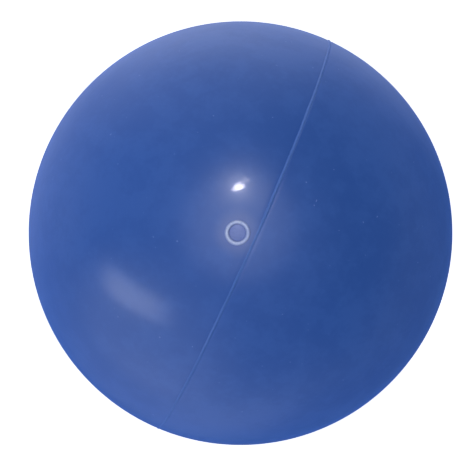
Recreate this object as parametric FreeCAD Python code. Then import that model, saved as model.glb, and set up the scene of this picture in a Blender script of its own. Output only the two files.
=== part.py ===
import FreeCAD, Part
import math
import os

# A soft weighted exercise ball: two moulded vinyl half shells welded along one great circle, filled
# with dense gel through a small bushed hole that a flush push-in plug closes.
# Millimetres. The origin is the ball's centre. +Z leaves the ball along the filling hole's axis.
# The seam's plane holds the Y axis and leans, so that it passes the hole on its +X side.

# Ball and wall
BALL_DIAMETER = 150.0
WALL = 4.5
AIR_DEPTH = 15.0  # from the top of the cavity down to the gel's free surface

# Seam: each half ends in a thick rim, and the weld fills the gap between the two rims
SEAM_LEAN_DEG = 3.7  # between the hole's axis and the seam's plane
WEB_THICKNESS = 0.4
BEAD_WIDTH = 1.2  # the line that shows outside
BEAD_HEIGHT = 0.3
BEAD_ROOT = 0.6  # depth of the groove that the outer bead fills
RIM_WIDTH = 3.2
RIM_DEPTH = 2.0
INNER_BEAD_WIDTH = 2.2
INNER_BEAD_HEIGHT = 0.9

# Boss: the thick pad inside the wall that carries the valve bush
BOSS_FACE_RADIUS = 10.0
BOSS_ROOT_RADIUS = 14.0
BOSS_FACE_DEPTH = 10.0  # below the ball's top
BOSS_ROOT_DEPTH = 4.0

# Valve bush: a flanged tube through the boss, with a rounded lip that stands proud
BUSH_DIAMETER = 6.7
BORE_DIAMETER = 4.4
LIP_HEIGHT = 0.32
FLANGE_DIAMETER = 13.0
FLANGE_THICKNESS = 2.4

# Valve plug: flush head, waisted shank with sealing ribs, tapered nose
PLUG_CLEARANCE = 0.05  # radial, between the plug's ribs and the bore
PLUG_LENGTH = 15.4
HEAD_LENGTH = 2.6
HEAD_RECESS = 0.15  # from the lip's foot down to the edge of the head
HEAD_CROWN = 0.15
SHANK_DIAMETER = 3.5
RIB_COUNT = 3
RIB_WIDTH = 1.1
RIB_PITCH = 2.4
NOSE_LENGTH = 3.2
NOSE_DIAMETER = 2.2
NOSE_CROWN = 0.5

# Worked out from the above
BALL_R = BALL_DIAMETER / 2
CAVITY_R = BALL_R - WALL
RIM_R = CAVITY_R - RIM_DEPTH
HALF_WEB = WEB_THICKNESS / 2
HALF_BEAD = BEAD_WIDTH / 2
HALF_INNER_BEAD = INNER_BEAD_WIDTH / 2
RIM_END = HALF_WEB + RIM_WIDTH
RIM_FOOT = RIM_END + RIM_DEPTH  # the rim meets the wall at about 45 degrees
BUSH_R = BUSH_DIAMETER / 2
BORE_R = BORE_DIAMETER / 2
BOSS_FACE_Z = BALL_R - BOSS_FACE_DEPTH
BOSS_ROOT_Z = BALL_R - BOSS_ROOT_DEPTH
GEL_LEVEL_Z = CAVITY_R - AIR_DEPTH
LIP_FOOT_Z = math.sqrt(BALL_R**2 - BUSH_R**2)

CENTRE = FreeCAD.Vector(0, 0, 0)
X_AXIS = FreeCAD.Vector(1, 0, 0)
Y_AXIS = FreeCAD.Vector(0, 1, 0)
Z_AXIS = FreeCAD.Vector(0, 0, 1)
FULL_TURN = 360
HALFWAY_DEG = 45  # where an arc's middle point lies


def closed_face(start, steps):
    """A flat face. Each step is the end of a straight edge or (middle, end) of an arc, and the last
    one ends at the start."""
    edges = []
    here = start
    for step in steps:
        if isinstance(step, tuple):
            middle, end = step
            edges.append(Part.Arc(here, middle, end).toShape())
        else:
            end = step
            edges.append(Part.LineSegment(here, end).toShape())
        here = end
    return Part.Face(Part.Wire(edges))


def one_solid(shape):
    """The single solid of a boolean's result, with its split faces joined."""
    solids = shape.removeSplitter().Solids
    if len(solids) != 1:
        raise ValueError(f"expected one solid and got {len(solids)}")
    return solids[0]


# Sections about the seam: distance along the seam's normal, and radius from that normal


def ring_point(along, radius):
    return FreeCAD.Vector(along, 0, -radius)


def sphere_point(along, sphere_radius):
    """The section point at this distance along the normal, on a sphere."""
    return ring_point(along, math.sqrt(sphere_radius**2 - along**2))


def sphere_middle(side, sphere_radius):
    """The section point on a sphere, halfway between the seam and that side's pole."""
    angle = math.radians(HALFWAY_DEG)
    return ring_point(side * sphere_radius * math.cos(angle), sphere_radius * math.sin(angle))


def lean(shape):
    """Leans a shape that was made square to the X axis over with the seam."""
    shape.rotate(CENTRE, Y_AXIS, SEAM_LEAN_DEG)
    return shape


def turned_about_seam(face):
    return lean(face.revolve(CENTRE, X_AXIS, FULL_TURN))


def seam_slab(low, high):
    """Everything near the ball between two planes parallel to the seam's."""
    width = 2 * BALL_DIAMETER
    corner = FreeCAD.Vector(low, -width / 2, -width / 2)
    return lean(Part.makeBox(high - low, width, width, corner))


# Sections about the filling hole's axis: radius, and height above the ball's centre


def valve_point(radius, height):
    return FreeCAD.Vector(radius, 0, height)


def turned_about_valve(face):
    return face.revolve(CENTRE, Z_AXIS, FULL_TURN)


def boss():
    """The whole valve pad: a cone frustum whose root lies inside the wall."""
    section = closed_face(
        valve_point(0, BOSS_FACE_Z),
        [
            valve_point(BOSS_FACE_RADIUS, BOSS_FACE_Z),
            valve_point(BOSS_ROOT_RADIUS, BOSS_ROOT_Z),
            valve_point(0, BOSS_ROOT_Z),
            valve_point(0, BOSS_FACE_Z),
        ],
    )
    return turned_about_valve(section)


def half_shell(side):
    """Wall, rim and share of the valve pad on one side of the seam: +1 or -1 along its normal."""
    bead_foot = sphere_point(side * HALF_BEAD, BALL_R)
    section = closed_face(
        bead_foot,
        [
            (sphere_middle(side, BALL_R), ring_point(side * BALL_R, 0)),
            ring_point(side * CAVITY_R, 0),
            (sphere_middle(side, CAVITY_R), sphere_point(side * RIM_FOOT, CAVITY_R)),
            ring_point(side * RIM_END, RIM_R),
            ring_point(side * HALF_WEB, RIM_R),
            ring_point(side * HALF_WEB, BALL_R - BEAD_ROOT),
            bead_foot,
        ],
    )
    near, far = side * HALF_WEB, side * BALL_R
    pad = boss().common(seam_slab(min(near, far), max(near, far)))
    return turned_about_seam(section).fuse(pad)


def shell_with_valve():
    hole_start = FreeCAD.Vector(0, 0, BOSS_FACE_Z - WALL)
    hole = Part.makeCylinder(BUSH_R, BALL_R, hole_start, Z_AXIS)
    return one_solid(half_shell(-1).cut(hole))


def shell_plain():
    return one_solid(half_shell(+1))


def seam_weld():
    """One ring: the outer bead, the web between the rims, and the inner bead. Through the boss the
    web runs down to the boss's face in place of the inner bead."""
    bead_foot = sphere_point(HALF_BEAD, BALL_R)
    section = closed_face(
        bead_foot,
        [
            ring_point(HALF_WEB, BALL_R - BEAD_ROOT),
            ring_point(HALF_WEB, RIM_R),
            ring_point(HALF_INNER_BEAD, RIM_R),
            (ring_point(0, RIM_R - INNER_BEAD_HEIGHT), ring_point(-HALF_INNER_BEAD, RIM_R)),
            ring_point(-HALF_WEB, RIM_R),
            ring_point(-HALF_WEB, BALL_R - BEAD_ROOT),
            sphere_point(-HALF_BEAD, BALL_R),
            (ring_point(0, BALL_R + BEAD_HEIGHT), bead_foot),
        ],
    )
    web_in_boss = boss().common(seam_slab(-HALF_WEB, HALF_WEB))
    return one_solid(turned_about_seam(section).cut(boss()).fuse(web_in_boss))


def gel_fill():
    """The gel fills the cavity round the rims and the inner bead, up to a level free surface."""
    pole = ring_point(CAVITY_R, 0)
    section = closed_face(
        pole,
        [
            (sphere_middle(+1, CAVITY_R), sphere_point(RIM_FOOT, CAVITY_R)),
            ring_point(RIM_END, RIM_R),
            ring_point(HALF_INNER_BEAD, RIM_R),
            (ring_point(0, RIM_R - INNER_BEAD_HEIGHT), ring_point(-HALF_INNER_BEAD, RIM_R)),
            ring_point(-RIM_END, RIM_R),
            sphere_point(-RIM_FOOT, CAVITY_R),
            (sphere_middle(-1, CAVITY_R), ring_point(-CAVITY_R, 0)),
            pole,
        ],
    )
    width = 2 * BALL_DIAMETER
    air = Part.makeBox(width, width, width, FreeCAD.Vector(-width / 2, -width / 2, GEL_LEVEL_Z))
    return one_solid(turned_about_seam(section).cut(air))


def valve_bush():
    """A tube through the boss. Its flange seats on the boss's face, and its lip is rounded."""
    flange_r = FLANGE_DIAMETER / 2
    flange_round = FLANGE_THICKNESS / 2
    flange_low = BOSS_FACE_Z - FLANGE_THICKNESS
    mouth = valve_point(BORE_R, LIP_FOOT_Z)
    section = closed_face(
        mouth,
        [
            valve_point(BORE_R, flange_low),
            valve_point(flange_r - flange_round, flange_low),
            (
                valve_point(flange_r, flange_low + flange_round),
                valve_point(flange_r - flange_round, BOSS_FACE_Z),
            ),
            valve_point(BUSH_R, BOSS_FACE_Z),
            valve_point(BUSH_R, LIP_FOOT_Z),
            (valve_point((BUSH_R + BORE_R) / 2, LIP_FOOT_Z + LIP_HEIGHT), mouth),
        ],
    )
    return turned_about_valve(section)


def valve_plug():
    """The plug fills the bore: a crowned head, a waisted shank with round ribs, and a nose."""
    rib_r = BORE_R - PLUG_CLEARANCE
    shank_r = SHANK_DIAMETER / 2
    nose_r = NOSE_DIAMETER / 2
    head_edge = LIP_FOOT_Z - HEAD_RECESS
    head_top = head_edge + HEAD_CROWN
    crown_sphere_r = (rib_r**2 + HEAD_CROWN**2) / (2 * HEAD_CROWN)
    crown_middle = head_top - crown_sphere_r + math.sqrt(crown_sphere_r**2 - (rib_r / 2) ** 2)
    shoulder = head_edge - HEAD_LENGTH
    bottom = head_top - PLUG_LENGTH
    steps = [
        (valve_point(rib_r / 2, crown_middle), valve_point(rib_r, head_edge)),
        valve_point(rib_r, shoulder),
        valve_point(shank_r, shoulder - (rib_r - shank_r)),
    ]
    for rib in range(RIB_COUNT):
        rib_middle = shoulder - (rib + 1) * RIB_PITCH
        rib_top, rib_bottom = rib_middle + RIB_WIDTH / 2, rib_middle - RIB_WIDTH / 2
        steps.append(valve_point(shank_r, rib_top))
        steps.append((valve_point(rib_r, rib_middle), valve_point(shank_r, rib_bottom)))
    steps += [
        valve_point(shank_r, bottom + NOSE_LENGTH),
        valve_point(nose_r, bottom + NOSE_CROWN),
        valve_point(0, bottom),
        valve_point(0, head_top),
    ]
    return turned_about_valve(closed_face(valve_point(0, head_top), steps))


PIECES = {
    "shell_with_valve": shell_with_valve,
    "shell_plain": shell_plain,
    "seam_weld": seam_weld,
    "valve_bush": valve_bush,
    "valve_plug": valve_plug,
    "gel_fill": gel_fill,
}

os.makedirs("parts", exist_ok=True)
for name, make in PIECES.items():
    make().exportStep(f"parts/{name}.step")
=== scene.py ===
import math

import bmesh
import bpy
import numpy as np
from mathutils import Matrix, Vector, noise


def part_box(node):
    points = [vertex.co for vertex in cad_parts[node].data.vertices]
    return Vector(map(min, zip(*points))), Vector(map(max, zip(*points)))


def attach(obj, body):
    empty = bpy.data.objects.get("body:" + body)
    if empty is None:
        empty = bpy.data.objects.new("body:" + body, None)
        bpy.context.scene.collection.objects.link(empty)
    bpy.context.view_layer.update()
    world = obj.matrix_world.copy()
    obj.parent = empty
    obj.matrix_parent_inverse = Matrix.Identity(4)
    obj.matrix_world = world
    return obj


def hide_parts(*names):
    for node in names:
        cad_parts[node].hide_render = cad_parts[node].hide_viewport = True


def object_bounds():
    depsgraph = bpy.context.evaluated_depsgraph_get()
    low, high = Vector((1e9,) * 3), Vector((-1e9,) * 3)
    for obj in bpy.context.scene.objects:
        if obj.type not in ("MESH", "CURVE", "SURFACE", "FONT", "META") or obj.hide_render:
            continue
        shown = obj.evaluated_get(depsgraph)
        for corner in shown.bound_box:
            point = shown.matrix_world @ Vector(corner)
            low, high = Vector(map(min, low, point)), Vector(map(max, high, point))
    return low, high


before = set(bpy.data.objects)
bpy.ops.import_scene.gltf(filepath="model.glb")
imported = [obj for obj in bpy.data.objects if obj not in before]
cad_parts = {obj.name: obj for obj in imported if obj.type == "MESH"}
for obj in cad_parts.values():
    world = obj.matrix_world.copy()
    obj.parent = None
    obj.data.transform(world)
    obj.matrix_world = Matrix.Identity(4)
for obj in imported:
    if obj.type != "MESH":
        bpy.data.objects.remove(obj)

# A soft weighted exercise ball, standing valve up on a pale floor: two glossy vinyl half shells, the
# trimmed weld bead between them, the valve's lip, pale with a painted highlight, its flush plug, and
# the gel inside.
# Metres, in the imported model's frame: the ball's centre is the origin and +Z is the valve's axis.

CAD_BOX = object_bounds()
MM = 0.001

# Shapes that the boxes of the CAD nodes don't give
SEAM_LEAN = math.radians(3.7)  # between the valve's axis and the seam's plane
WALL = 4.5 * MM
HALF_WEB = 0.2 * MM
RIM_WIDTH = 3.2 * MM
RIM_DEPTH = 2.0 * MM
INNER_BEAD_HALF_WIDTH = 1.1 * MM
INNER_BEAD_HEIGHT = 0.9 * MM
GROOVE_DEPTH = 0.6 * MM  # of the groove that the outer bead fills
BOSS_FACE_RADIUS = 10.0 * MM
BOSS_FACE_DEPTH = 10.0 * MM
BOSS_ROOT_RADIUS = 14.0 * MM
BOSS_ROOT_DEPTH = 4.0 * MM
BUSH_RADIUS = 3.35 * MM
BORE_RADIUS = 2.2 * MM
FLANGE_ROUND = 1.2 * MM
BEAD_HALF_WIDTH = 0.5 * MM
BEAD_HEIGHT = 0.22 * MM
BEAD_FOOT = 0.04 * MM  # the skin dips by this much where it runs up to the bead
BEAD_BITE = 0.02 * MM  # the bead's foot lies this much deeper still, so that no gap shows
BEAD_ROUND = 1.4  # power of the cosine that shapes the bead's section
SHANK_RADIUS = 1.75 * MM

BALL_RADIUS = (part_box("shell_plain")[1].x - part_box("shell_with_valve")[0].x) / 2
CAVITY_RADIUS = BALL_RADIUS - WALL
FLANGE_LOW, LIP_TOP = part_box("valve_bush")[0].z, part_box("valve_bush")[1].z
FLANGE_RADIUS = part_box("valve_bush")[1].x
PLUG_LOW, PLUG_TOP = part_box("valve_plug")[0].z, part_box("valve_plug")[1].z
PLUG_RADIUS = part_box("valve_plug")[1].x
GEL_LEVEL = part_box("gel_fill")[1].z
FLOOR_Z = CAD_BOX[0].z
FLOOR_RADIUS = 2.5
BOSS_FACE = BALL_RADIUS - BOSS_FACE_DEPTH
RIM_RADIUS = CAVITY_RADIUS - RIM_DEPTH

# The seam's own axes: its normal, and the direction in its plane that is nearest the valve
SEAM_NORMAL = Vector((math.cos(SEAM_LEAN), 0, -math.sin(SEAM_LEAN)))
SEAM_TOP = Vector((math.sin(SEAM_LEAN), 0, math.cos(SEAM_LEAN)))
SEAM_SIDE = Vector((0, 1, 0))
VALVE_AXES = (Vector((0, 0, 1)), Vector((1, 0, 0)), Vector((0, 1, 0)))
SEAM_AXES = (SEAM_NORMAL, SEAM_TOP, SEAM_SIDE)


# Meshes

SHARP_FROM = math.radians(40)  # an edge that bends by more than this is shaded sharp
NEARLY_TOUCHING = 0.004 * MM  # points closer than this after a cut become one


def turned(name, section, steps, axes, move=None):
    """A closed mesh from section points (along, radius) turned about the first of three axes.
    A point of radius 0 becomes a pole. With no poles the section closes on itself.
    move(index, angle, along, radius) may shift a point as it goes round."""
    axis, across, side = axes
    points, rings, faces = [], [], []
    for index, (along, radius) in enumerate(section):
        count = steps if radius > 0 else 1
        rings.append(range(len(points), len(points) + count))
        for step in range(count):
            angle = math.tau * step / steps
            a, r = move(index, angle, along, radius) if move else (along, radius)
            points.append(axis * a + (across * math.cos(angle) + side * math.sin(angle)) * r)
    pairs = list(zip(rings, rings[1:]))
    if len(rings[0]) > 1:
        pairs.append((rings[-1], rings[0]))
    for low, high in pairs:
        for step in range(steps):
            after = (step + 1) % steps
            corners = [low[step % len(low)], low[after % len(low)],
                       high[after % len(high)], high[step % len(high)]]
            faces.append(list(dict.fromkeys(corners)))
    mesh = bpy.data.meshes.new(name)
    mesh.from_pydata(points, [], faces)
    return shown(name, mesh)


def shown(name, mesh):
    """Links a mesh, with its normals outward and smooth shading between its sharp edges."""
    edit = bmesh.new()
    edit.from_mesh(mesh)
    bmesh.ops.recalc_face_normals(edit, faces=edit.faces)
    edit.to_mesh(mesh)
    edit.free()
    mesh.shade_smooth()
    mesh.set_sharp_from_angle(angle=SHARP_FROM)
    piece = bpy.data.objects.new(name, mesh)
    bpy.context.scene.collection.objects.link(piece)
    return piece


def combined(piece, other, operation):
    """The piece's union with, or difference from, the other object, in place of both. Corners that
    the cut leaves nearly touching are joined, so that the mesh stays closed."""
    name = piece.name
    change = piece.modifiers.new("combine", "BOOLEAN")
    change.operation, change.object, change.solver = operation, other, "EXACT"
    graph = bpy.context.evaluated_depsgraph_get()
    mesh = bpy.data.meshes.new_from_object(piece.evaluated_get(graph))
    edit = bmesh.new()
    edit.from_mesh(mesh)
    bmesh.ops.remove_doubles(edit, verts=edit.verts, dist=NEARLY_TOUCHING)
    bmesh.ops.dissolve_degenerate(edit, dist=NEARLY_TOUCHING / 2, edges=edit.edges)
    edit.to_mesh(mesh)
    edit.free()
    bpy.data.objects.remove(piece)
    bpy.data.objects.remove(other)
    return shown(name, mesh)


def clipped(piece, point, normal):
    """Cuts away what lies on the normal's side of a plane, and closes the cut."""
    edit = bmesh.new()
    edit.from_mesh(piece.data)
    everything = edit.verts[:] + edit.edges[:] + edit.faces[:]
    bmesh.ops.bisect_plane(edit, geom=everything, plane_co=point, plane_no=normal, clear_outer=True)
    bmesh.ops.holes_fill(edit, edges=[e for e in edit.edges if e.is_boundary], sides=0)
    edit.to_mesh(piece.data)
    edit.free()
    return piece


def bend(centre, radii, degrees, steps):
    """Section points along an ellipse's arc: 0 degrees points along the axis, 90 away from it."""
    low, high = (math.radians(d) for d in degrees)
    angles = [low + (high - low) * step / steps for step in range(steps + 1)]
    return [(centre[0] + radii[0] * math.cos(a), centre[1] + radii[1] * math.sin(a)) for a in angles]


def ripple(point, size, seed):
    """Smooth noise from -1 to 1 whose features are about this size."""
    return noise.noise(Vector(point) / size + Vector((seed, seed * 0.37, -seed)))


# The two half shells

ARC_STEPS = 110  # from the pole to the seam
TURN_STEPS = 288  # round the seam's normal
SHOULDER = HALF_WEB + RIM_WIDTH + RIM_DEPTH
SKIN_RIPPLE, SKIN_RIPPLE_SIZE = 0.022 * MM, 21 * MM  # depth, and distance between ripples
SINK_WIDTH = 0.4 * MM
# The skin's finer steps towards the weld, as distances from the weld's middle
EDGE_STEPS = (3.6, 2.7, 2.0, 1.6, 1.3, 1.1, 0.95, 0.84, 0.75, 0.67, 0.59, 0.5, 0.36, 0.24)
EDGE_ALONG = [step * MM for step in EDGE_STEPS]
EVEN_STEPS_END = 1.35 * EDGE_ALONG[0]


def sink(along):
    """The skin's dip at this distance from the middle of the weld bead."""
    past = max(0, along - BEAD_HALF_WIDTH)
    return BEAD_FOOT * math.exp(-(past / SINK_WIDTH) ** 2)


def half_shell(name, side):
    """Skin, rim and wall on one side of the seam: 1 or -1 along its normal."""
    last = math.degrees(math.acos(EVEN_STEPS_END / BALL_RADIUS))
    outside = bend((0, 0), (BALL_RADIUS, BALL_RADIUS), (0, last), ARC_STEPS)
    outside[0] = (BALL_RADIUS, 0.0)
    outside += [(a, math.sqrt(BALL_RADIUS**2 - a**2) - sink(a)) for a in EDGE_ALONG]
    foot = math.degrees(math.acos(SHOULDER / CAVITY_RADIUS))
    inside = bend((0, 0), (CAVITY_RADIUS, CAVITY_RADIUS), (foot, 0), ARC_STEPS // 2)
    inside[-1] = (CAVITY_RADIUS, 0.0)
    rims = [(HALF_WEB, BALL_RADIUS - GROOVE_DEPTH), (HALF_WEB, RIM_RADIUS),
            (HALF_WEB + RIM_WIDTH, RIM_RADIUS)]
    section = [(side * a, r) for a, r in outside + rims + inside]

    def move(index, angle, along, radius):
        if index >= len(outside) or radius == 0:
            return along, radius
        outward = SEAM_TOP * math.cos(angle) + SEAM_SIDE * math.sin(angle)
        place = SEAM_NORMAL * along + outward * radius
        wave = 0.5 + 0.5 * ripple(place, SKIN_RIPPLE_SIZE, 3.1)
        scale = 1 - (SKIN_RIPPLE * wave) / BALL_RADIUS
        return along * scale, radius * scale

    return turned(name, section, TURN_STEPS, SEAM_AXES, move)


def valve_pad(side):
    """One side's share of the thick pad that carries the valve bush."""
    root = BALL_RADIUS - BOSS_ROOT_DEPTH
    chamfer_in, chamfer_up = 0.8 * MM, 0.5 * MM
    section = [(BOSS_FACE, 0.0), (BOSS_FACE, BOSS_FACE_RADIUS - chamfer_in),
               (BOSS_FACE + chamfer_up, BOSS_FACE_RADIUS), (root, BOSS_ROOT_RADIUS), (root, 0.0)]
    pad = turned("pad", section, 96, VALVE_AXES)
    return clipped(pad, SEAM_NORMAL * side * HALF_WEB, SEAM_NORMAL * -side)


def make_shells():
    """The plain half, and the half that the valve's hole is drilled through."""
    plain = combined(half_shell("shell_plain_skin", 1), valve_pad(1), "UNION")
    holed = combined(half_shell("shell_with_valve_skin", -1), valve_pad(-1), "UNION")
    past = 5 * MM
    low, high = BOSS_FACE - past, BALL_RADIUS + past
    section = [(low, 0.0), (low, BUSH_RADIUS), (high, BUSH_RADIUS), (high, 0.0)]
    drill = turned("drill", section, 128, VALVE_AXES)
    holed = combined(holed, drill, "DIFFERENCE")
    return plain, holed


# The weld between them

BEAD_STEPS = 1800
# Beside the valve the bead is trimmed nearly flush, and here and there it is nicked
TRIMMED_CENTRE = -2.5 * MM / BALL_RADIUS
TRIMMED_HALF = 7.5 * MM / BALL_RADIUS
TRIMMED_SHARE, NICK_SHARE = 0.86, 0.55  # of its height, cut away
NICK_HALF = 0.45 * MM / BALL_RADIUS
UNEVEN_HEIGHT, UNEVEN_WIDTH = 0.16, 0.14  # shares of its own height and width
TALLEST = 1.08
NARROWED_SHARE = 0.25  # of its width, lost where its height is
SLOW_DRIFT, QUICK_DRIFT = 0.09 * MM, 0.03 * MM  # of its middle, from side to side
NICKS = ((0.335, 0.9), (0.62, 0.5), (-0.36, 0.6), (-0.66, 1.0), (1.3, 0.7), (2.2, 0.9), (-1.9, 0.8),
         (3.0, 0.6), (-2.6, 0.7))  # angle from the valve in radians, and depth as a share


def trimmed(angle):
    """1 where the bead stands whole, falling to a trace beside the valve and at each nick."""
    turn = (angle + math.pi) % math.tau - math.pi
    whole = 1 - TRIMMED_SHARE * math.exp(-(((turn - TRIMMED_CENTRE) / TRIMMED_HALF) ** 4))
    lower_past_valve = math.tanh(turn / 0.3) * math.cos(turn / 2)
    whole *= 0.8 + 0.2 * lower_past_valve
    for at, depth in NICKS:
        whole *= 1 - NICK_SHARE * depth * math.exp(-(((turn - at) / NICK_HALF) ** 2))
    return whole


def make_weld():
    """The ring of weld: a rounded bead outside, the web between the rims, and the inner bead."""
    foot = BALL_RADIUS - BEAD_FOOT - BEAD_BITE
    tall_in_middle = BALL_RADIUS + BEAD_HEIGHT - foot
    crest = [(a, foot + tall_in_middle * math.cos(math.pi / 2 * a / BEAD_HALF_WIDTH) ** BEAD_ROUND)
             for a in np.linspace(-BEAD_HALF_WIDTH, BEAD_HALF_WIDTH, 15)]
    inner = bend((0, RIM_RADIUS), (INNER_BEAD_HALF_WIDTH, -INNER_BEAD_HEIGHT), (0, 180), 8)
    section = (crest + [(HALF_WEB, foot), (HALF_WEB, RIM_RADIUS)] + inner
               + [(-HALF_WEB, RIM_RADIUS), (-HALF_WEB, foot)])
    pad_edge = BOSS_ROOT_RADIUS / BALL_RADIUS

    def move(index, angle, along, radius):
        """Uneven outside. Through the valve's pad, the web runs down to just above the pad's face."""
        place = (math.cos(angle) * BALL_RADIUS, math.sin(angle) * BALL_RADIUS, 0)
        if index < len(crest):
            whole = trimmed(angle)
            tall = min(TALLEST, whole * (1 + UNEVEN_HEIGHT * ripple(place, 2.2 * MM, 1.7)))
            wide = 1 + UNEVEN_WIDTH * ripple(place, 3.5 * MM, 5.2) - NARROWED_SHARE * (1 - whole)
            drift = SLOW_DRIFT * ripple(place, 9 * MM, 8.8)
            drift += QUICK_DRIFT * ripple(place, 1.3 * MM, 2.4)
            return along * wide + drift, foot + (radius - foot) * tall
        turn = (angle + math.pi) % math.tau - math.pi
        if radius > RIM_RADIUS or abs(turn) > pad_edge:
            return along, radius
        face = BOSS_FACE / math.cos(turn)
        if abs(along) == HALF_WEB:
            return along, face + 0.3 * MM
        return along * HALF_WEB / INNER_BEAD_HALF_WIDTH, face + (radius - RIM_RADIUS) * 0.2

    return turned("weld_bead", section, BEAD_STEPS, SEAM_AXES, move)


# The valve: bush and plug, turned about the valve's axis

LIP_FOOT = math.sqrt(BALL_RADIUS**2 - BUSH_RADIUS**2)
LIP_HALF = (BUSH_RADIUS - BORE_RADIUS) / 2
LIP_REACH = PLUG_RADIUS + 0.01 * MM  # the lip wipes the plug as it slides
LIP_BITE = 0.05 * MM  # the lip's foot lies this far below the skin
LIP_UNEVEN = 0.16  # share of its height
LIP_SWAY = 0.09 * MM
WIPER_TOP, WIPER_LOW, WIPER_END = 0.14 * MM, 0.26 * MM, 0.42 * MM  # below the lip's foot
TUBE_CLEARANCE = 0.02 * MM


def make_bush():
    """Lip, wiper, bore and flange, as one tube through the pad."""
    lip_middle = (LIP_FOOT - LIP_BITE, BORE_RADIUS + LIP_HALF)
    lip = bend(lip_middle, (LIP_TOP - LIP_FOOT, LIP_HALF), (90, -90), 20)
    flange_middle = (BOSS_FACE - FLANGE_ROUND, FLANGE_RADIUS - FLANGE_ROUND)
    flange = bend(flange_middle, (FLANGE_ROUND, FLANGE_ROUND), (0, 180), 16)
    wiper = [(LIP_FOOT - depth, LIP_REACH) for depth in (WIPER_TOP, WIPER_LOW)]
    bore = [(LIP_FOOT - WIPER_END, BORE_RADIUS), (FLANGE_LOW, BORE_RADIUS)]
    section = lip + wiper + bore + flange[::-1] + [(BOSS_FACE, BUSH_RADIUS - TUBE_CLEARANCE)]
    held = 3  # section points at each end of the lip that don't sway

    def move(index, angle, along, radius):
        if index >= len(lip):
            return along, radius
        place = (math.cos(angle) * 3 * MM, math.sin(angle) * 3 * MM, 0)
        height = 1 - LIP_UNEVEN * (0.5 + 0.5 * ripple(place, 2.1 * MM, 4.4))
        free = held <= index < len(lip) - held
        sway = LIP_SWAY * ripple(place, 2.6 * MM, 9.2) if free else 0
        return LIP_FOOT + (along - LIP_FOOT) * height, max(LIP_REACH, radius + sway)

    return turned("valve_bush_lip", section, 192, VALVE_AXES, move)


HEAD_CROWN = 0.13 * MM
HEAD_EDGE_DEPTH = 0.15 * MM
HEAD_ROUND = 0.07 * MM
SHOULDER_DEPTH = 2.75 * MM
RIB_COUNT = 3
RIB_PITCH = 2.4 * MM
RIB_HALF = 0.55 * MM
NOSE_LENGTH = 3.2 * MM
NOSE_RADIUS = 1.1 * MM
NOSE_ROUND = (0.5 * MM, 0.35 * MM)  # along the axis, and away from it
FLASH = 0.06 * MM  # height of the two fine mould lines down the shank
FLASH_FROM = 0.985  # cosine of the angle at which they start


def make_plug():
    """Crowned head with a moulding dimple, shank with round ribs, and tapered nose."""
    dimple = ((0.05, 0.0), (0.045, 0.12), (0.01, 0.3))  # millimetres below the top, and radius
    head = [(PLUG_TOP - depth * MM, radius * MM) for depth, radius in dimple]
    crown = PLUG_RADIUS - HEAD_ROUND
    head += [(PLUG_TOP - HEAD_CROWN * (r / crown) ** 2, r) for r in np.linspace(0.5 * MM, crown, 8)]
    edge = PLUG_TOP - HEAD_EDGE_DEPTH - HEAD_ROUND
    head += bend((edge, crown), (HEAD_ROUND, HEAD_ROUND), (0, 90), 6)
    shoulder = PLUG_TOP - SHOULDER_DEPTH
    side = [(shoulder + 0.1 * MM, PLUG_RADIUS), (shoulder, PLUG_RADIUS - 0.1 * MM),
            (shoulder - 0.35 * MM, SHANK_RADIUS + 0.04 * MM), (shoulder - 0.5 * MM, SHANK_RADIUS)]
    for rib in range(RIB_COUNT):
        middle = (shoulder - (rib + 1) * RIB_PITCH, SHANK_RADIUS)
        side += bend(middle, (RIB_HALF, PLUG_RADIUS - SHANK_RADIUS), (0, 180), 12)
    start = PLUG_LOW + NOSE_LENGTH
    nose = [(start, SHANK_RADIUS), (start - 0.15 * MM, SHANK_RADIUS - 0.03 * MM)]
    nose_middle = (PLUG_LOW + NOSE_ROUND[0], NOSE_RADIUS - NOSE_ROUND[1])
    nose += bend(nose_middle, (-NOSE_ROUND[0], NOSE_ROUND[1]), (90, 0), 8)
    section = head + side + nose + [(PLUG_LOW, 0.0)]

    def move(index, angle, along, radius):
        if index < len(head):
            return along, radius
        flash = max(0, abs(math.cos(angle)) - FLASH_FROM) / (1 - FLASH_FROM)
        return along, min(PLUG_RADIUS, radius + FLASH * flash)

    return turned("valve_plug_skin", section, 192, VALVE_AXES, move)


# The gel

# Rings of the gel's surface, from its edge inward: share of the ring outside it, and depth
MENISCUS = ((0.985, 0.75 * MM), (0.975, 1.1 * MM), (0.95, 1.25 * MM), (0.65, 1.3 * MM))


def make_gel():
    """Gel that fills the cavity round the rims and the inner bead, up to a dished surface."""
    pole = math.degrees(math.acos(SHOULDER / CAVITY_RADIUS))
    half = bend((0, 0), (CAVITY_RADIUS, CAVITY_RADIUS), (0, pole), 56)
    half[0] = (CAVITY_RADIUS, 0.0)
    half.append((HALF_WEB + RIM_WIDTH, RIM_RADIUS))
    half += bend((0, RIM_RADIUS), (INNER_BEAD_HALF_WIDTH, -INNER_BEAD_HEIGHT), (0, 80), 6)
    section = half + [(-a, r) for a, r in half[::-1]]
    gel = clipped(turned("gel", section, 144, SEAM_AXES), Vector((0, 0, GEL_LEVEL)), Vector((0, 0, 1)))
    edit = bmesh.new()
    edit.from_mesh(gel.data)
    surface = [f for f in edit.faces if f.calc_center_median().z > GEL_LEVEL - 0.01 * MM]
    outer = [loop.vert for loop in surface[0].loops]
    edit.faces.remove(surface[0])
    for reach, drop in MENISCUS:
        inner = [edit.verts.new((v.co.x * reach, v.co.y * reach, GEL_LEVEL - drop)) for v in outer]
        for step in range(len(outer)):
            after = (step + 1) % len(outer)
            edit.faces.new((outer[step], outer[after], inner[after], inner[step]))
        outer = inner
    edit.faces.new(outer)
    edit.to_mesh(gel.data)
    edit.free()
    return gel


# Materials

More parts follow.
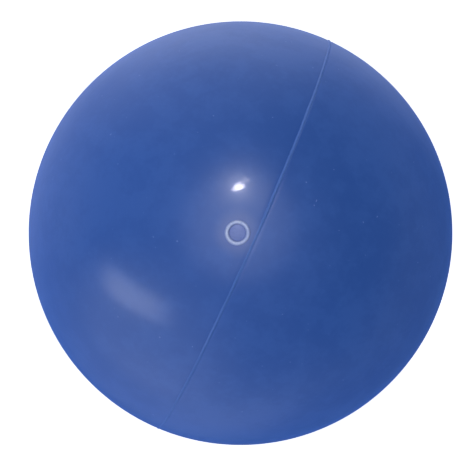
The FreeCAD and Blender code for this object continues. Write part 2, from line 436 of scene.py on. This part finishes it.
class NodeTree:
    """A node tree, built a node at a time. A value is a number, a colour or another node's socket."""

    def __init__(self, tree):
        self.tree = tree

    def add(self, kind, inputs=(), **settings):
        node = self.tree.nodes.new(kind)
        for key, value in settings.items():
            setattr(node, key, value)
        for key, value in dict(inputs).items():
            self.put(node.inputs[key], value)
        return node

    def put(self, socket, value):
        if isinstance(value, bpy.types.NodeSocket):
            self.tree.links.new(value, socket)
        else:
            socket.default_value = value


class Nodes(NodeTree):
    """A material's node tree, round its one Principled shader."""

    def __init__(self, name):
        self.material = bpy.data.materials.new(name)
        self.material.use_nodes = True
        super().__init__(self.material.node_tree)
        self.shader = self.tree.nodes["Principled BSDF"]
        self.place = self.add("ShaderNodeTexCoord").outputs["Object"]

    def noise(self, size, detail=2.0, roughness=0.5, distortion=0.0):
        """Noise from 0 to 1 whose largest features are about this size."""
        node = self.add("ShaderNodeTexNoise", {
            "Vector": self.place, "Scale": 1 / size, "Detail": detail, "Roughness": roughness,
            "Distortion": distortion})
        return node.outputs["Fac"]

    def spread(self, value, low, high, to_low=0.0, to_high=1.0):
        """Maps low..high onto to_low..to_high, with soft ends."""
        node = self.add("ShaderNodeMapRange", {
            "Value": value, "From Min": low, "From Max": high, "To Min": to_low, "To Max": to_high})
        node.interpolation_type = "SMOOTHSTEP"
        return node.outputs["Result"]

    def away_from(self, centre):
        """How far each place is from this point of the piece's own frame."""
        node = self.add("ShaderNodeVectorMath", {0: self.place, 1: centre}, operation="DISTANCE")
        return node.outputs["Value"]

    def blend(self, factor, first, second):
        """The first colour where the factor is 0, the second where it is 1."""
        node = self.add("ShaderNodeMix", data_type="RGBA")
        for index, value in ((0, factor), (6, first), (7, second)):
            self.put(node.inputs[index], value)
        return node.outputs[2]

    def sum(self, *values):
        total = values[0]
        for value in values[1:]:
            node = self.add("ShaderNodeMath", operation="ADD")
            self.put(node.inputs[0], total)
            self.put(node.inputs[1], value)
            total = node.outputs[0]
        return total

    def bump(self, height, depth, below=None):
        """A normal bent by a height map, on top of the bump below it."""
        inputs = {"Height": height, "Distance": depth, "Strength": 1.0}
        if below is not None:
            inputs["Normal"] = below
        return self.add("ShaderNodeBump", inputs).outputs["Normal"]

    def finish(self, **sockets):
        """Fills the shader's sockets; an underscore stands for a space in a socket's name."""
        for key, value in sockets.items():
            self.put(self.shader.inputs[key.replace("_", " ")], value)
        return self.material


# What the skin and the weld share: a weak reflection, and a bluer sheen towards the edge
SOFT_VINYL = {"Specular_IOR_Level": 0.25, "Sheen_Weight": 0.33, "Sheen_Roughness": 0.3,
              "Sheen_Tint": (0.10, 0.28, 1.0, 1)}
SPECK = (0.14, 0.24, 0.60, 1)
# The pale glow round the valve is a painted reflection, put into the skin's colour
VALVE_PAINTED_GLOW = (0.23, 0.27, 0.53, 1)
GLOW_PAINT_EDGE, GLOW_PAINT_FULL, GLOW_PAINT_SHARE = 7.5 * MM, 2.5 * MM, 0.38
# Round this place near the valve the bead's colour turns paler
PALER_PLACE = Vector((4, 16, 71)) * MM
PALER_EDGE, PALER_FULL = 56 * MM, 18 * MM
# Painted shade: the lip's sides are darkened towards the flank colour
FLANK_SHADE_SHARE = 0.75  # of the flank colour in the lip's sides


def vinyl(name, dark, light, shine):
    """Soft moulded vinyl: faint mottling in its colour, orange peel, smudges, a few pale specks, and a
    painted reflection, a pale glow round the valve."""
    m = Nodes(name)
    cloud = m.spread(m.noise(46 * MM, 3, 0.55, 0.4), 0.35, 0.68)
    mottle = m.spread(m.noise(7 * MM, 4, 0.6), 0.36, 0.66)
    fine = m.noise(1.6 * MM, 2)
    tone = m.spread(m.sum(cloud, mottle, fine), 0.6, 2.2)
    colour = m.blend(tone, dark, light)
    specks = m.spread(m.noise(0.8 * MM, 0), 0.86, 0.90)
    colour = m.blend(specks, colour, SPECK)
    # Painted reflection: the skin's colour turns paler in a glow round the valve
    valve = m.away_from((0, 0, BALL_RADIUS))
    halo = m.spread(valve, GLOW_PAINT_EDGE, GLOW_PAINT_FULL, 0, GLOW_PAINT_SHARE)
    colour = m.blend(halo, colour, VALVE_PAINTED_GLOW)
    smudge = m.spread(m.noise(19 * MM, 5, 0.6, 0.8), 0.4, 0.72, shine - 0.015, shine + 0.035)
    peel = m.bump(m.noise(1.9 * MM, 1), 0.015 * MM)
    peel = m.bump(m.noise(0.35 * MM, 1), 0.0025 * MM, peel)
    return m.finish(Base_Color=colour, Roughness=smudge, Normal=peel, IOR=1.5, Coat_Weight=0.2,
                    Coat_Roughness=0.085, **SOFT_VINYL)


def weld_vinyl(bead_blue, paler_blue):
    """The trimmed bead: the skin's colour, paler on one stretch either side of the valve."""
    m = Nodes("weld_vinyl")
    paler_here = m.spread(m.away_from(PALER_PLACE), PALER_EDGE, PALER_FULL)
    patchy = m.spread(m.sum(m.noise(5 * MM, 3), m.noise(1.2 * MM, 2)), 0.6, 1.2, 0.55, 1.0)
    tone = m.add("ShaderNodeMath", {0: paler_here, 1: patchy}, operation="MULTIPLY").outputs[0]
    rough = m.spread(m.noise(0.9 * MM, 3), 0.35, 0.7, 0.32, 0.42)
    return m.finish(Base_Color=m.blend(tone, bead_blue, paler_blue), Roughness=rough,
                    Normal=m.bump(m.noise(0.5 * MM, 3), 0.01 * MM), **SOFT_VINYL)


def plain_vinyl(name, dark, light, shine, grain, depth, shaded_flanks=None):
    """The valve's small mouldings: slightly uneven colour and a fine grain. With a flank colour, the
    lip
    gets painted light and shade: only its crest stays pale, a painted highlight, and its sides turn
    towards that colour, painted shade."""
    m = Nodes(name)
    tone = m.spread(m.sum(m.noise(2.4 * MM, 4, 0.6), m.noise(0.5 * MM, 2)), 0.7, 1.3)
    rough = m.spread(m.noise(1.1 * MM, 3), 0.35, 0.7, shine, shine + 0.12)
    colour = m.blend(tone, dark, light)
    # Painted highlight and shade: the lip's crest stays pale and its sides are darkened towards the
    # flank colour
    if shaded_flanks:
        flat = m.add("ShaderNodeVectorMath", {0: m.place, 1: (1, 1, 0)}, operation="MULTIPLY")
        reach = m.add("ShaderNodeVectorMath", {0: flat.outputs["Vector"]}, operation="LENGTH")
        reach = reach.outputs["Value"]
        inner = m.spread(reach, BORE_RADIUS, BORE_RADIUS + LIP_HALF, FLANK_SHADE_SHARE, 0)
        outer = m.spread(reach, BUSH_RADIUS - LIP_HALF, BUSH_RADIUS, 0, FLANK_SHADE_SHARE)
        colour = m.blend(m.sum(inner, outer), colour, shaded_flanks)
    return m.finish(Base_Color=colour, Roughness=rough, Coat_Weight=0.15, Coat_Roughness=0.15,
                    Normal=m.bump(m.noise(grain, 3, 0.6), depth))


def clear_gel(name, dark, light):
    """Cloudy, nearly clear gel with a faintly uneven surface."""
    m = Nodes(name)
    cloud = m.spread(m.noise(18 * MM, 4, 0.6, 0.5), 0.35, 0.7)
    return m.finish(Base_Color=m.blend(cloud, dark, light), Roughness=0.08, IOR=1.42,
                    Transmission_Weight=0.85, Normal=m.bump(m.noise(6 * MM, 3), 0.05 * MM))


# Building the pieces

def place_piece(piece, body, node, material):
    """Gives a piece its material and the body it rides, and hides the CAD node that it stands for."""
    piece.data.materials.clear()
    piece.data.materials.append(material)
    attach(piece, body)
    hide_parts(node)


blue = vinyl("blue_vinyl", (0.038, 0.120, 0.438, 1), (0.047, 0.138, 0.480, 1), 0.31)
weld_blue = weld_vinyl((0.060, 0.158, 0.500, 1), (0.088, 0.196, 0.560, 1))
# The lip's pale colour is partly its own and partly a painted highlight; its darker sides are painted
# shade
lip_pale_and_highlight = plain_vinyl("pale_vinyl", (0.46, 0.56, 0.92, 1), (0.66, 0.75, 1.0, 1), shine=0.38,
                   grain=0.4 * MM, depth=0.008 * MM, shaded_flanks=(0.16, 0.23, 0.54, 1))
plug_blue = plain_vinyl("plug_vinyl", (0.114, 0.176, 0.485, 1), (0.142, 0.212, 0.540, 1), shine=0.34,
                        grain=0.3 * MM, depth=0.004 * MM)
cloudy = clear_gel("gel", (0.50, 0.66, 0.80, 1), (0.66, 0.79, 0.88, 1))

plain_half, valve_half = make_shells()
place_piece(plain_half, "ball", "shell_plain", blue)
place_piece(valve_half, "ball", "shell_with_valve", blue)
place_piece(make_weld(), "ball", "seam_weld", weld_blue)
place_piece(make_bush(), "ball", "valve_bush", lip_pale_and_highlight)
place_piece(make_plug(), "plug", "valve_plug", plug_blue)
place_piece(make_gel(), "ball", "gel_fill", cloudy)


# Camera: close above the valve, with the seam running from the upper right to the lower left

CAMERA_DISTANCE = BALL_RADIUS / 0.3
CAMERA_LENS, CAMERA_SENSOR = 51.85, 36.0  # millimetres
ROLL = math.radians(23.84)
RIGHT = Vector((math.cos(ROLL), math.sin(ROLL), 0))
UP = Vector((-math.sin(ROLL), math.cos(ROLL), 0))
OVERHEAD = Vector((0, 0, 1))
CAMERA_PLACE = (OVERHEAD + RIGHT * 0.00865 - UP * 0.0014).normalized() * CAMERA_DISTANCE
CAMERA_TARGET = RIGHT * -2.20 * MM - UP * 0.29 * MM
LAMP_ABOVE = 1.13  # the flash's height above the camera in the picture, in the ball's radii


def looking(thing, place, target, up):
    """Puts a thing at a place, facing the target, with its own top towards up."""
    back = (place - target).normalized()
    right = up.cross(back).normalized()
    turn = Matrix((right, back.cross(right), back)).transposed()
    thing.matrix_world = Matrix.Translation(place) @ turn.to_4x4()


def make_camera():
    """The photo's view."""
    data = bpy.data.cameras.new("camera")
    data.lens = CAMERA_LENS
    data.sensor_width = CAMERA_SENSOR
    camera = bpy.data.objects.new("camera", data)
    bpy.context.scene.collection.objects.link(camera)
    looking(camera, CAMERA_PLACE, CAMERA_TARGET, UP)
    bpy.context.scene.camera = camera


def towards(around, above):
    """A direction in the camera's own terms: degrees round from its right, and above the horizon."""
    turn, rise = math.radians(around), math.radians(above)
    level = RIGHT * math.cos(turn) + UP * math.sin(turn)
    return level * math.cos(rise) + OVERHEAD * math.sin(rise)


def soft_light(name, place, size, watts, glossy=False, tilt=0, colour=(1, 1, 1)):
    """An oval lamp that either shines on the surfaces or is only mirrored in their gloss."""
    data = bpy.data.lights.new(name, "AREA")
    data.shape = "ELLIPSE"
    data.size, data.size_y = size
    data.energy = watts
    data.color = colour
    light = bpy.data.objects.new(name, data)
    bpy.context.scene.collection.objects.link(light)
    turn = math.radians(tilt)
    looking(light, place, Vector((0, 0, 0)), UP * math.cos(turn) - RIGHT * math.sin(turn))
    light.visible_camera = False
    light.visible_glossy = glossy
    light.visible_diffuse = not glossy


def make_lights():
    """A flash just above the camera with a second glint beside it, and a broad light from one side."""
    lamp = OVERHEAD * CAMERA_DISTANCE + UP * LAMP_ABOVE * BALL_RADIUS
    soft_light("lamp_in_gloss", lamp, (22 * MM, 13 * MM), 0.098, glossy=True, tilt=24,
               colour=(0.92, 0.90, 1.0))
    edge = lamp + RIGHT * 13.5 * MM + UP * 15 * MM
    soft_light("lamp_edge_in_gloss", edge, (14 * MM, 5 * MM), 0.006, glossy=True, tilt=-34)
    soft_light("lamp", lamp, (0.1, 0.1), 0.065)
    soft_light("softbox", towards(100, 15) * 0.9, (0.8, 0.8), 0.35)


# The room as the gloss shows it. Each glow: degrees round from the camera's right, degrees above the
# horizon, degrees from its middle to its edge, and strength
GLOWS = {
    "camera": (0, 90, 13, 1.2),
    "lamp's halo": (90, 87, 34, 3.1),
    "ceiling": (0, 90, 60, 0.6),
    "wall above": (120, -12, 84, 0.44),
    "top of wall above": (105, 0, 48, 0.6),
    "floor above": (80, -38, 48, 0.33),
    "wall at left": (185, 10, 40, 0.12),
    "window's halo": (228, 22, 46, 1.1),
    "wall below": (240, -5, 55, 0.35),
    "top of wall below": (265, 16, 52, 0.46),
    "ceiling at left": (150, 60, 50, 0.16),
    "floor at left": (175, -38, 50, 0.03),
    "wall at right": (60, 20, 34, 0.15),
}
GLOW_CORE = 1 / 7  # share of a glow's size that is fully bright
ROOM_COLOUR = (0.78, 0.84, 1.0, 1)
# A slanted bright strip in the room, in degrees
WINDOW = {"around": 211.5, "above": 26.5, "lean": 36, "half_length": 24, "half_width": 9.6,
          "level": 6.1}
WINDOW_CORE = 0.3  # share of the strip's size that is fully bright
EVEN_LIGHT = 0.15  # strength of the daylight on what the world lights


class World(NodeTree):
    """White to the camera, even daylight to what it lights, and a dim room to the gloss."""

    def __init__(self):
        world = bpy.data.worlds.new("studio")
        world.use_nodes = True
        bpy.context.scene.world = world
        super().__init__(world.node_tree)
        self.tree.nodes.clear()
        self.facing = self.add("ShaderNodeTexCoord").outputs["Generated"]

    def maths(self, operation, first, second=0.0):
        return self.add("ShaderNodeMath", {0: first, 1: second}, operation=operation).outputs[0]

    def along(self, direction):
        """How far each view direction goes along this one, from -1 to 1."""
        return self.add("ShaderNodeVectorMath", {0: self.facing, 1: direction},
                        operation="DOT_PRODUCT").outputs["Value"]

    def fade(self, value, low, high, level=1.0):
        """From 0 at low to the level at high, with soft ends."""
        node = self.add("ShaderNodeMapRange", {"Value": value, "From Min": low, "From Max": high,
                                               "To Max": level}, interpolation_type="SMOOTHSTEP")
        return node.outputs["Result"]

    def glow(self, around, above, edge, level):
        """A round glow, brightest in its middle."""
        return self.fade(self.along(towards(around, above)), math.cos(math.radians(edge)),
                         math.cos(math.radians(edge * GLOW_CORE)), level)

    def strip(self, around, above, lean, half_length, half_width, level):
        """A soft-edged oblong glow, with its long side at this lean."""
        middle = towards(around, above)
        side = OVERHEAD.cross(middle).normalized()
        turn = math.radians(lean)
        long_way = side * math.cos(turn) + middle.cross(side) * math.sin(turn)
        result = self.fade(self.along(middle), 0, 0.2, level)
        for direction, half in ((long_way, half_length), (middle.cross(long_way), half_width)):
            away = self.maths("ABSOLUTE", self.along(direction))
            edge, core = math.sin(math.radians(half)), math.sin(math.radians(half * WINDOW_CORE))
            result = self.maths("MULTIPLY", result, self.fade(away, edge, core))
        return result

    def background(self, strength, colour=(1, 1, 1, 1)):
        """One look of the world."""
        return self.add("ShaderNodeBackground", {"Color": colour, "Strength": strength}).outputs[0]

    def finish(self):
        """Shows each kind of ray its own background."""
        room = self.strip(**WINDOW)
        for glow in GLOWS.values():
            room = self.maths("ADD", room, self.glow(*glow))
        result = self.background(room, ROOM_COLOUR)
        path = self.add("ShaderNodeLightPath")
        for ray, shown_then in (("Is Diffuse Ray", self.background(EVEN_LIGHT)),
                                ("Is Camera Ray", self.background(1.0))):
            mixed = self.add("ShaderNodeMixShader", {0: path.outputs[ray], 1: result, 2: shown_then})
            result = mixed.outputs[0]
        self.add("ShaderNodeOutputWorld", {"Surface": result})


def make_floor():
    """A broad pale disc that the gloss doesn't mirror."""
    edit = bmesh.new()
    bmesh.ops.create_circle(edit, cap_ends=True, radius=FLOOR_RADIUS, segments=96)
    mesh = bpy.data.meshes.new("floor")
    edit.to_mesh(mesh)
    edit.free()
    floor = bpy.data.objects.new("floor", mesh)
    bpy.context.scene.collection.objects.link(floor)
    floor.location.z = FLOOR_Z
    m = Nodes("floor")
    tone = m.blend(m.noise(90 * MM, 3), (0.88, 0.88, 0.88, 1), (0.93, 0.93, 0.93, 1))
    paper = m.finish(Base_Color=tone, Roughness=0.7, Emission_Color=(1, 1, 1, 1), Emission_Strength=0.8)
    floor.data.materials.append(paper)
    floor.visible_glossy = False


make_camera()
make_lights()
World().finish()
make_floor()
bpy.context.scene.view_settings.view_transform = "Standard"
